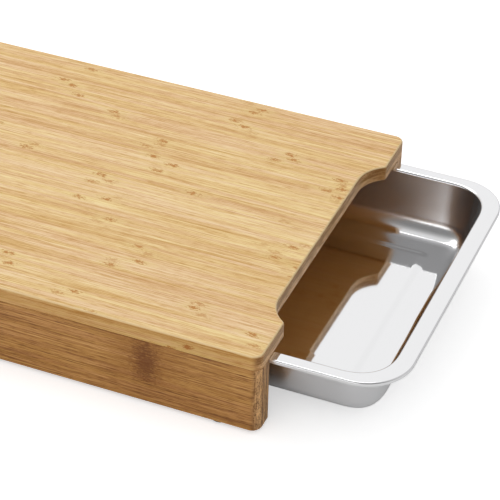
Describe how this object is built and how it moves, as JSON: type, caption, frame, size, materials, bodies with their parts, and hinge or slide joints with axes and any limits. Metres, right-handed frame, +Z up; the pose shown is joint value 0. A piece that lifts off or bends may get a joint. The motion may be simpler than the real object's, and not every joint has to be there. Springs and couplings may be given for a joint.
{
  "type": "cutting board with sliding tray",
  "caption": "Bamboo cutting board on side rails with a notched end, over a pressed stainless steel tray that slides out along grooves to catch food.",
  "frame": {"origin": "centre of the whole footprint on the table, with the tray in its pictured, pulled-out position", "axes": "+X along the board towards the end where the tray comes out, +Y from the front rail to the rear rail, +Z up from the table"},
  "size_m": [0.472, 0.28, 0.0645],
  "materials": {
    "bamboo_panel": "oiled, sanded",
    "bamboo_rail": "oiled, sanded",
    "dowel_wood": "bare, turned",
    "foot_rubber": "matt, moulded",
    "screw_steel": "plain, zinc bright",
    "tray_steel": "pressed, polished"
  },
  "bodies": {
    "board": {"top_board": "bamboo_panel", "front_rail": "bamboo_rail", "rear_rail": "bamboo_rail", "end_rail": "bamboo_rail", "front_rail_dowels": "dowel_wood", "rear_rail_dowels": "dowel_wood", "end_rail_dowels": "dowel_wood", "corner_dowels": "dowel_wood", "foot_front_left": "foot_rubber", "foot_front_right": "foot_rubber", "foot_rear_left": "foot_rubber", "foot_rear_right": "foot_rubber", "foot_screws": "screw_steel"},
    "tray": {"tray": "tray_steel"}
  },
  "joints": [
    {"name": "tray_slide", "type": "slide", "parent": "board", "child": "tray", "axis": [1, 0, 0], "range_m": [-0.087, 0.219]}
  ]
}
